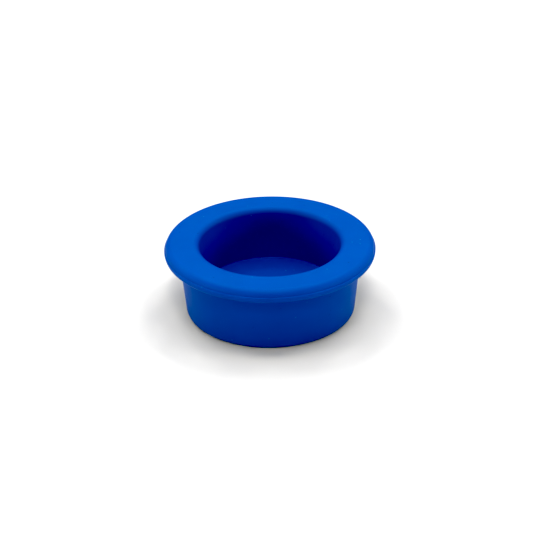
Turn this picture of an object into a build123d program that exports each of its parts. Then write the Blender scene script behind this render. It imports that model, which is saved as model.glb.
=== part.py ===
"""Flanged silicone cup: one compression-moulded piece with a wide rim flange and a flat-floored well.

The frame has its origin at the centre of the base, with +Z up along the axis and out of the
well's mouth. Lengths are in millimetres.
"""

import os

from build123d import *

# Overall sizes
FLANGE_DIAMETER = 60.0
HEIGHT = 21.3
FLANGE_THICKNESS = 4.1

# Body below the flange, tapered so that the lower mould half lets go of it
BODY_TOP_DIAMETER = 51.7
BASE_DIAMETER = 48.5

# Well, with a slight taper for the mould's core
WELL_MOUTH_DIAMETER = 40.3
WELL_FLOOR_DIAMETER = 39.8
BASE_THICKNESS = 5.1

# The mould halves meet on the flange's edge. The upper half is slightly smaller, which
# leaves a narrow ledge that faces up.
PARTING_DROP = 1.95
PARTING_LEDGE = 0.3

# Edge radii
RIM_TOP_RADIUS = 1.8
LEDGE_EDGE_RADIUS = 0.15
RIM_UNDER_RADIUS = 1.7
UNDERCUT_RADIUS = 0.6
BASE_EDGE_RADIUS = 1.1
LIP_RADIUS = 1.7
WELL_CORNER_RADIUS = 0.2
SHARP = 0

# What follows from the sizes above
flange_radius = FLANGE_DIAMETER / 2
upper_flange_radius = flange_radius - PARTING_LEDGE
flange_seat_z = HEIGHT - FLANGE_THICKNESS
parting_z = HEIGHT - PARTING_DROP

PARTS_FOLDER = "parts"
CUBIC_MM_PER_CM3 = 1000


def cup_corners():
    """The half section's corners as (radius, height), anticlockwise, each with its edge radius."""
    return [
        ((0, 0), SHARP),
        ((BASE_DIAMETER / 2, 0), BASE_EDGE_RADIUS),
        ((BODY_TOP_DIAMETER / 2, flange_seat_z), UNDERCUT_RADIUS),
        ((flange_radius, flange_seat_z), RIM_UNDER_RADIUS),
        ((flange_radius, parting_z), LEDGE_EDGE_RADIUS),
        ((upper_flange_radius, parting_z), SHARP),
        ((upper_flange_radius, HEIGHT), RIM_TOP_RADIUS),
        ((WELL_MOUTH_DIAMETER / 2, HEIGHT), LIP_RADIUS),
        ((WELL_FLOOR_DIAMETER / 2, BASE_THICKNESS), WELL_CORNER_RADIUS),
        ((0, BASE_THICKNESS), SHARP),
    ]


def half_section(corners):
    """A face in the XZ plane with the given corners, rounded where they have a radius."""
    with BuildSketch(Plane.XZ) as section:
        with BuildLine():
            Polyline([point for point, _ in corners], close=True)
        make_face()
        for point, radius in corners:
            if radius != SHARP:
                fillet(section.vertices().sort_by_distance(point)[0], radius)
    return section.sketch


def moulded_cup():
    """The whole cup: base, tapered wall, flange and rounded lip in one piece of rubber."""
    return revolve(half_section(cup_corners()), Axis.Z)


def main():
    os.makedirs(PARTS_FOLDER, exist_ok=True)
    cup = moulded_cup()
    export_step(cup, os.path.join(PARTS_FOLDER, "moulded_cup.step"))
    print(f"moulded_cup: {cup.volume / CUBIC_MM_PER_CM3:.2f} cm3, valid {cup.is_valid}")


main()
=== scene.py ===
"""Looks of the flanged silicone cup: a finely turned mesh of the moulding, its material, and a plain studio.

Lengths in the settings are millimetres. Everything in Blender is in metres, in the CAD model's frame.
"""

import math
import random

import bmesh
import bpy
from mathutils import Matrix, Vector


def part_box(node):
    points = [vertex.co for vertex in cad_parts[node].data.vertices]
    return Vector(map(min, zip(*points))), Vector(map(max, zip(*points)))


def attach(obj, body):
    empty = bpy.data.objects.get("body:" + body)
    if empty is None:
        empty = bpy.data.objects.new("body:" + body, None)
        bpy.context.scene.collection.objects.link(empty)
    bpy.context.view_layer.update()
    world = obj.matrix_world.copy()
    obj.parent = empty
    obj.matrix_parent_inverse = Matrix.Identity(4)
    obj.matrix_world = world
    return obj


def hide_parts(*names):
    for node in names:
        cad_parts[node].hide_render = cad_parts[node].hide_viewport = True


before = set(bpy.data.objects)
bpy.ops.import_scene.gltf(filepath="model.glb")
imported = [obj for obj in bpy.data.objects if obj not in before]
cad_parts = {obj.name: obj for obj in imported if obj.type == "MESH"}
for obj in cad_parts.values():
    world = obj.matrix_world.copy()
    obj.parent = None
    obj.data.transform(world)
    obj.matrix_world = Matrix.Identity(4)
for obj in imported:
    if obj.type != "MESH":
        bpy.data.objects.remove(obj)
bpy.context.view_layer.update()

MM = 0.001
NODE = "moulded_cup"

# The cup's section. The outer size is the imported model's, and the rest repeats its driving sizes.
low_corner, high_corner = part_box(NODE)
FLANGE_RADIUS = high_corner.x / MM
HEIGHT = high_corner.z / MM
FLANGE_THICKNESS = 4.1
BODY_TOP_RADIUS = 25.85
BASE_RADIUS = 24.25
WELL_MOUTH_RADIUS = 20.15
WELL_FLOOR_RADIUS = 19.9
BASE_THICKNESS = 5.1
PARTING_DROP = 1.95
PARTING_LEDGE = 0.3

# Edge radii
SHARP = 0
RIM_TOP_ROUND = 1.8
LEDGE_ROUND = 0.15
RIM_UNDER_ROUND = 1.7
UNDERCUT_ROUND = 0.6
BASE_EDGE_ROUND = 1.1
LIP_ROUND = 1.7
WELL_CORNER_ROUND = 0.2

# Fineness of the turned mesh. A ring has TURNS points out to the rim, and half as many each time its
# radius halves from FULL_TURNS_RADIUS inwards.
TURNS = 720
FULL_TURNS_RADIUS = 12.0
MOST_HALVINGS = 4
ARC_STEP = math.radians(8)
LONGEST_RUN = 1.0

# Wear of the mould line: its ledge wanders in and out, in several sets of waves round the cup, and has a
# few small nicks. The smallest wave or nick is LEAST_SHARE of the largest.
LEDGE_WANDER = 0.008
WANDER_WAVES = (2, 3, 5, 9, 17, 31)
LEAST_SHARE = 0.4
WEAR_SEED = 4
NICK_DEPTH = 0.05
NICK_WIDTH = math.radians(0.7)
NICKS = 4

# Silicone: colours, and the sizes of its blotches and of its smoother and rougher patches
BLUE = (0.0, 0.0925, 0.377, 1)
DEEP_BLUE = (0.0, 0.0875, 0.361, 1)
MOTTLING_SIZE = 9.0
ROUGHNESS = 0.5
ROUGHNESS_SPREAD = 0.04
HANDLED_SIZE = 6.0
SPECULAR_LEVEL = 0.2

# Silicone: its grain and the slight waves in it
GRAIN_SIZE = 0.22
GRAIN_HEIGHT = 0.006
SWELL_SIZE = 2.5
SWELL_HEIGHT = 0.008

# Dust: colours, how strongly each kind shows, and how much of it stays on a face that looks down
DUST_PALE = (0.10, 0.28, 0.46, 1)
DUST_DARK = (0.0, 0.03, 0.15, 1)
PALE_STRENGTH = 0.65
DARK_STRENGTH = 0.75
LINT_STRENGTH = 0.6
DUST_BELOW = 0.3

# Dust: specks and hairs of lint
SPECK_SPACING = 2.6
SPECK_RADIUS = 0.25
SPECK_HEIGHT = 0.03
SPECK_CORE = 0.4
LINT_SPACING = 3.8
LINT_RADIUS = 0.11
LINT_STRETCH = 7
LINT_TURN = (0.3, 0.2, 0.7)

# Scuffs along the mould line: how far they reach up and down, their size, how pale and how rough they are
SCUFF_REACH = 0.35
SCUFF_SIZE = 3.0
SCUFF_STRENGTH = 0.06
SCUFF_ROUGHNESS = 0.1

# Width of each lamp as seen from the cup, in degrees
LAMP_WIDTH = 12

# The table: its colour far from the cup and at the cup's foot, and how far out the change spreads
TABLE = (0.7, 0.7, 0.7, 1)
TABLE_BY_CUP = (0.7, 0.66, 0.56, 1)
BLUE_LIGHT_REACH = 10.0
FADE_STEPS = 10
TABLE_ROUGHNESS = 0.9
TABLE_HALF_WIDTH = 3

# Camera: angles in degrees, the lens and sensor in millimetres, and the near and far limits in metres
CAMERA_DISTANCE = 437
CAMERA_ELEVATION = 28.68
CAMERA_ROLL = 0.88
CAMERA_TARGET = (-0.05, 0, 11.62)
SENSOR_WIDTH = 36
LENS = 101.65
NEAREST_SEEN = 0.01
FARTHEST_SEEN = 50

# Display: a little of the shadow end is cut off, and the contrast is slightly raised
BLACK_LEVEL = 0.0566
GAMMA = 0.87


def rounded_outline(corners):
    """Points along a path of (radius, height, rounding) corners, with arcs at the corners."""
    points = [Vector(corners[0][:2])]

    def run_to(target):
        start = points[-1]
        count = max(1, math.ceil((target - start).length / LONGEST_RUN))
        points.extend(start.lerp(target, i / count) for i in range(1, count + 1))

    for i in range(1, len(corners)):
        here, rounding = Vector(corners[i][:2]), corners[i][2]
        if rounding == SHARP:
            run_to(here)
            continue
        before = (Vector(corners[i - 1][:2]) - here).normalized()
        after = (Vector(corners[i + 1][:2]) - here).normalized()
        half_angle = before.angle(after) / 2
        centre = here + (before + after).normalized() * rounding / math.sin(half_angle)
        reach = rounding / math.tan(half_angle)
        run_to(here + before * reach)
        spoke = points[-1] - centre
        swing = spoke.angle_signed(here + after * reach - centre)
        steps = math.ceil(abs(swing) / ARC_STEP)
        points.extend(centre + Matrix.Rotation(-swing * k / steps, 2) @ spoke for k in range(1, steps + 1))
    return points


def cup_outline():
    """The half section, from the centre of the base round the outside to the centre of the well's floor."""
    seat = HEIGHT - FLANGE_THICKNESS
    parting = HEIGHT - PARTING_DROP
    upper_radius = FLANGE_RADIUS - PARTING_LEDGE
    return rounded_outline([
        (0, 0, SHARP),
        (BASE_RADIUS, 0, BASE_EDGE_ROUND),
        (BODY_TOP_RADIUS, seat, UNDERCUT_ROUND),
        (FLANGE_RADIUS, seat, RIM_UNDER_ROUND),
        (FLANGE_RADIUS, parting, LEDGE_ROUND),
        (upper_radius, parting, SHARP),
        (upper_radius, HEIGHT, RIM_TOP_ROUND),
        (WELL_MOUTH_RADIUS, HEIGHT, LIP_ROUND),
        (WELL_FLOOR_RADIUS, BASE_THICKNESS, WELL_CORNER_ROUND),
        (0, BASE_THICKNESS, SHARP),
    ])


def mould_line_wear():
    """A function of the angle: how far the ledge of the mould line stands in from its true place, in mm."""
    rng = random.Random(WEAR_SEED)
    waves = [
        (n, rng.uniform(0, math.tau), rng.uniform(LEAST_SHARE, 1.0) / math.sqrt(n)) for n in WANDER_WAVES
    ]
    nicks = [(rng.uniform(0, math.tau), rng.uniform(LEAST_SHARE, 1.0)) for _ in range(NICKS)]

    def inset(angle):
        wander = sum(height * math.sin(n * angle + phase) for n, phase, height in waves)
        cut = 0.0
        for place, depth in nicks:
            off = (angle - place + math.pi) % math.tau - math.pi
            cut += depth * math.exp(-((off / NICK_WIDTH) ** 2))
        return LEDGE_WANDER * max(0.0, wander / 2) + NICK_DEPTH * cut

    return inset


def turns_at(radius):
    """Points in a ring: all of them on the outer part, and half as many each time the radius halves."""
    halvings = max(0, math.ceil(math.log2(FULL_TURNS_RADIUS / radius)))
    return TURNS // 2 ** min(halvings, MOST_HALVINGS)


def stitch(mesh, lower, upper):
    """Faces between two neighbouring rings, whose counts are equal or one twice the other."""
    if len(lower) == len(upper):
        for t in range(len(lower)):
            n = (t + 1) % len(lower)
            mesh.faces.new((lower[t], lower[n], upper[n], upper[t]))
        return
    fine, coarse = (lower, upper) if len(lower) > len(upper) else (upper, lower)
    for t in range(len(coarse)):
        n = (t + 1) % len(coarse)
        first, middle, last = fine[2 * t], fine[2 * t + 1], fine[(2 * t + 2) % len(fine)]
        mesh.faces.new((first, middle, coarse[t]))
        mesh.faces.new((middle, coarse[n], coarse[t]))
        mesh.faces.new((middle, last, coarse[n]))


def make_cup():
    """A closed mesh of revolution, with the ledge of the mould line slightly uneven."""
    outline = cup_outline()
    inset = mould_line_wear()
    parting = HEIGHT - PARTING_DROP
    mesh = bmesh.new()
    rings = []
    for p in outline[1:-1]:
        near_line = math.exp(-(((p.y - parting) / LEDGE_ROUND) ** 2))
        on_edge = near_line if p.x > FLANGE_RADIUS - PARTING_LEDGE / 2 else 0.0
        ring = []
        count = turns_at(p.x)
        for t in range(count):
            angle = math.tau * t / count
            r = (p.x - on_edge * inset(angle)) * MM
            ring.append(mesh.verts.new((r * math.cos(angle), r * math.sin(angle), p.y * MM)))
        rings.append(ring)
    for lower, upper in zip(rings, rings[1:]):
        stitch(mesh, lower, upper)
    for centre, ring in ((outline[0], rings[0]), (outline[-1], rings[-1])):
        middle = mesh.verts.new((0, 0, centre.y * MM))
        for t in range(len(ring)):
            mesh.faces.new((middle, ring[t], ring[(t + 1) % len(ring)]))
    bmesh.ops.recalc_face_normals(mesh, faces=mesh.faces)
    data = bpy.data.meshes.new("cup_moulding")
    mesh.to_mesh(data)
    mesh.free()
    data.shade_smooth()
    cup = bpy.data.objects.new("cup_moulding", data)
    bpy.context.scene.collection.objects.link(cup)
    return cup


def add(tree, kind, inputs=None, **settings):
    """A new shader node with its inputs set or linked, by name or by number."""
    node = tree.nodes.new("ShaderNode" + kind)
    for name, value in settings.items():
        setattr(node, name, value)
    for name, value in (inputs or {}).items():
        if isinstance(value, bpy.types.NodeSocket):
            tree.links.new(value, node.inputs[name])
        else:
            node.inputs[name].default_value = value
    return node


def ramp(tree, value, start, stop, low=0.0, high=1.0):
    """low up to start, high past stop, and straight between them."""
    inputs = {"Value": value, "From Min": start, "From Max": stop, "To Min": low, "To Max": high}
    return add(tree, "MapRange", inputs).outputs["Result"]


def product(tree, a, b):
    """Two values multiplied."""
    return add(tree, "Math", {0: a, 1: b}, operation="MULTIPLY").outputs["Value"]


def mixed(tree, factor, colour, other):
    """colour where factor is 0 and other where it is 1."""
    inputs = {"Factor": factor, 6: colour, 7: other}
    return add(tree, "Mix", inputs, data_type="RGBA").outputs[2]


def noise(tree, position, size, detail=2.0):
    """Cloudy noise from 0 to 1 whose lumps measure about size, in mm."""
    inputs = {"Vector": position, "Scale": 1 / (size * MM), "Detail": detail}
    return add(tree, "TexNoise", inputs).outputs["Fac"]


def bent(tree, position, size, reach):
    """The position moved about by up to reach, in lumps of the given size, in mm."""
    swirl = add(tree, "TexNoise", {"Vector": position, "Scale": 1 / (size * MM)}).outputs["Color"]
    centred = add(tree, "VectorMath", {0: swirl, 1: (0.5, 0.5, 0.5)}, operation="SUBTRACT").outputs["Vector"]
    inputs = {0: centred, 1: (2 * reach * MM,) * 3, 2: position}
    return add(tree, "VectorMath", inputs, operation="MULTIPLY_ADD").outputs["Vector"]


def spots(tree, position, spacing, radius):
    """Sparse spots: how much of one is here, and a random number from 0 to 1 for each."""
    cells = add(tree, "TexVoronoi", {"Vector": position, "Scale": 1 / (spacing * MM)})
    here = ramp(tree, cells.outputs["Distance"], radius / spacing, SPECK_CORE * radius / spacing)
    chance = add(tree, "SeparateColor", {"Color": cells.outputs["Color"]}).outputs["Red"]
    return here, chance


def dust(tree, position):
    """Amounts of pale dust, dark dust and lint. They lie mostly on what faces up."""
    normal_z = add(tree, "SeparateXYZ", {"Vector": add(tree, "NewGeometry").outputs["Normal"]}).outputs["Z"]
    settled = ramp(tree, normal_z, -0.5, 0.9, low=DUST_BELOW)
    speck, kind = spots(tree, bent(tree, position, 0.3, 0.12), SPECK_SPACING, SPECK_RADIUS)
    speck = product(tree, speck, settled)
    pale = product(tree, speck, ramp(tree, kind, 0.45, 0.55))
    dark = product(tree, speck, ramp(tree, kind, 0.5, 0.4))
    stretched = add(tree, "Mapping", {"Vector": bent(tree, position, 2.0, 0.9), "Rotation": LINT_TURN,
                                      "Scale": (1, 1 / LINT_STRETCH, 1)}).outputs["Vector"]
    lint = product(tree, spots(tree, stretched, LINT_SPACING, LINT_RADIUS)[0], settled)
    return pale, dark, lint


def mould_line_scuff(tree, position):
    """How scuffed the edge of the flange is along the mould line."""
    height = add(tree, "SeparateXYZ", {"Vector": position}).outputs["Z"]
    line = (HEIGHT - PARTING_DROP) * MM
    below = ramp(tree, height, line - SCUFF_REACH * MM, line)
    above = ramp(tree, height, line + SCUFF_REACH * MM, line)
    flat = add(tree, "VectorMath", {0: position, 1: (1, 1, 0)}, operation="MULTIPLY").outputs["Vector"]
    radius = add(tree, "VectorMath", {0: flat}, operation="LENGTH").outputs["Value"]
    edge = ramp(tree, radius, (FLANGE_RADIUS - 1) * MM, (FLANGE_RADIUS - 0.5) * MM)
    patches = ramp(tree, noise(tree, position, SCUFF_SIZE, 4.0), 0.45, 0.7)
    return product(tree, product(tree, product(tree, below, above), edge), patches)


def silicone():
    """Matt blue silicone from a fine-blasted mould, faintly mottled, with a little dust and lint on it."""
    material = bpy.data.materials.new("matt_blue_silicone")
    material.use_nodes = True
    tree = material.node_tree
    shader = tree.nodes["Principled BSDF"]
    position = add(tree, "TexCoord").outputs["Object"]

    pale, dark, lint = dust(tree, position)
    scuff = mould_line_scuff(tree, position)
    mottling = ramp(tree, noise(tree, position, MOTTLING_SIZE, 5.0), 0.35, 0.65)
    colour = mixed(tree, mottling, BLUE, DEEP_BLUE)
    colour = mixed(tree, product(tree, scuff, SCUFF_STRENGTH), colour, DUST_PALE)
    colour = mixed(tree, product(tree, dark, DARK_STRENGTH), colour, DUST_DARK)
    colour = mixed(tree, product(tree, pale, PALE_STRENGTH), colour, DUST_PALE)
    colour = mixed(tree, product(tree, lint, LINT_STRENGTH), colour, DUST_PALE)
    tree.links.new(colour, shader.inputs["Base Color"])

    handled = noise(tree, position, HANDLED_SIZE, 4.0)
    smoothest, roughest = ROUGHNESS - ROUGHNESS_SPREAD, ROUGHNESS + ROUGHNESS_SPREAD
    roughness = ramp(tree, handled, 0.3, 0.7, low=smoothest, high=roughest)
    dulling = {0: scuff, 1: SCUFF_ROUGHNESS, 2: roughness}
    dulled = add(tree, "Math", dulling, operation="MULTIPLY_ADD").outputs["Value"]
    tree.links.new(dulled, shader.inputs["Roughness"])

    grain = noise(tree, position, GRAIN_SIZE, 3.0)
    swell = noise(tree, position, SWELL_SIZE, 2.0)
    waved = add(tree, "Bump", {"Height": swell, "Distance": SWELL_HEIGHT * MM}).outputs["Normal"]
    grained = add(tree, "Bump", {"Height": grain, "Distance": GRAIN_HEIGHT * MM, "Normal": waved})
    grained = grained.outputs["Normal"]
    specked = add(tree, "Bump", {"Height": pale, "Distance": SPECK_HEIGHT * MM, "Normal": grained})
    tree.links.new(specked.outputs["Normal"], shader.inputs["Normal"])

    shader.inputs["Specular IOR Level"].default_value = SPECULAR_LEVEL
    return material


def lamps(name, elevation, azimuths, strength):
    """Soft distant lamps at one height. Azimuth 0 is behind the cup and 180 is in front.

    Any other azimuth gives two lamps, one on each side.
    """
    for azimuth in azimuths:
        for side in ((1,) if azimuth in (0, 180) else (1, -1)):
            turn, rise = math.radians(azimuth * side), math.radians(elevation)
            across, up = math.cos(rise), math.sin(rise)
            towards = Vector((math.sin(turn) * across, math.cos(turn) * across, up))
            data = bpy.data.lights.new(name, "SUN")
            data.angle = math.radians(LAMP_WIDTH)
            data.energy = strength
            lamp = bpy.data.objects.new(name, data)
            lamp.rotation_euler = towards.to_track_quat("Z", "Y").to_euler()
            bpy.context.scene.collection.objects.link(lamp)


def make_lights():
    """A canopy overhead, a bank behind the cup, low lamps at its sides, and two lamps high in front."""
    lamps("overhead", 80, (120,), 0.38)
    lamps("canopy_beside", 70, (90,), 0.35)
    lamps("canopy_behind", 60, (30, 60), 0.31)
    lamps("bank_behind", 40, (0, 30), 0.38)
    lamps("bank_ends", 30, (60,), 0.45)
    lamps("side", 20, (90,), 0.62)
    lamps("low_front", 10, (120,), 0.74)
    lamps("front_upper", 70, (180,), 0.5)
    lamps("front_lower", 50, (180,), 0.76)


def table_material():
    """Pale grey, and slightly warm round the cup's foot, where it offsets the blue light from the cup."""
    material = bpy.data.materials.new("pale_table")
    material.use_nodes = True
    tree = material.node_tree
    shader = tree.nodes["Principled BSDF"]
    position = add(tree, "TexCoord").outputs["Object"]
    radius = add(tree, "VectorMath", {0: position}, operation="LENGTH").outputs["Value"]
    farthest = BASE_RADIUS + FADE_STEPS * BLUE_LIGHT_REACH
    steps_out = ramp(tree, radius, BASE_RADIUS * MM, farthest * MM, high=-FADE_STEPS)
    blue_light = add(tree, "Math", {0: steps_out}, operation="EXPONENT").outputs["Value"]
    tree.links.new(mixed(tree, blue_light, TABLE, TABLE_BY_CUP), shader.inputs["Base Color"])
    shader.inputs["Roughness"].default_value = TABLE_ROUGHNESS
    shader.inputs["Specular IOR Level"].default_value = 0.0
    return material


def make_floor():
    """The table top, a plain square."""
    data = bpy.data.meshes.new("floor")
    mesh = bmesh.new()
    bmesh.ops.create_grid(mesh, x_segments=1, y_segments=1, size=TABLE_HALF_WIDTH)
    mesh.to_mesh(data)
    mesh.free()
    floor = bpy.data.objects.new("floor", data)
    bpy.context.scene.collection.objects.link(floor)
    data.materials.append(table_material())


def make_camera():
    """The camera, in front of the cup and above it, with a slight roll."""
    distance = CAMERA_DISTANCE * MM
    elevation = math.radians(CAMERA_ELEVATION)
    roll = math.radians(CAMERA_ROLL)
    target = Vector(CAMERA_TARGET) * MM
    back = Vector((0, -math.cos(elevation), math.sin(elevation)))
    right = Vector((1, 0, 0))
    up = back.cross(right)
    camera_x = right * math.cos(roll) - up * math.sin(roll)
    camera_y = right * math.sin(roll) + up * math.cos(roll)
    data = bpy.data.cameras.new("camera")
    data.sensor_width = SENSOR_WIDTH
    data.lens = LENS
    data.clip_start = NEAREST_SEEN
    data.clip_end = FARTHEST_SEEN
    camera = bpy.data.objects.new("camera", data)
    rotation = Matrix((camera_x, camera_y, back)).transposed()
    camera.matrix_world = Matrix.Translation(target + back * distance) @ rotation.to_4x4()
    bpy.context.scene.collection.objects.link(camera)
    bpy.context.scene.camera = camera


def make_world():
    """White where the camera sees it, and no light of its own, so that only the lamps light the cup."""
    world = bpy.data.worlds.new("studio")
    world.use_nodes = True
    tree = world.node_tree
    background = tree.nodes["Background"]
    background.inputs["Color"].default_value = (1, 1, 1, 1)
    path = tree.nodes.new("ShaderNodeLightPath")
    tree.links.new(path.outputs["Is Camera Ray"], background.inputs["Strength"])
    bpy.context.scene.world = world


def set_display():
    """The plain view transform, with the black level and the gamma set above."""
    view = bpy.context.scene.view_settings
    view.view_transform = "Standard"
    view.gamma = GAMMA
    view.use_curve_mapping = True
    view.curve_mapping.black_level = (BLACK_LEVEL,) * 3
    view.curve_mapping.update()


cup = make_cup()
cup.data.materials.append(silicone())
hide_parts(NODE)
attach(cup, "root")

make_floor()
make_camera()
make_world()
make_lights()
set_display()
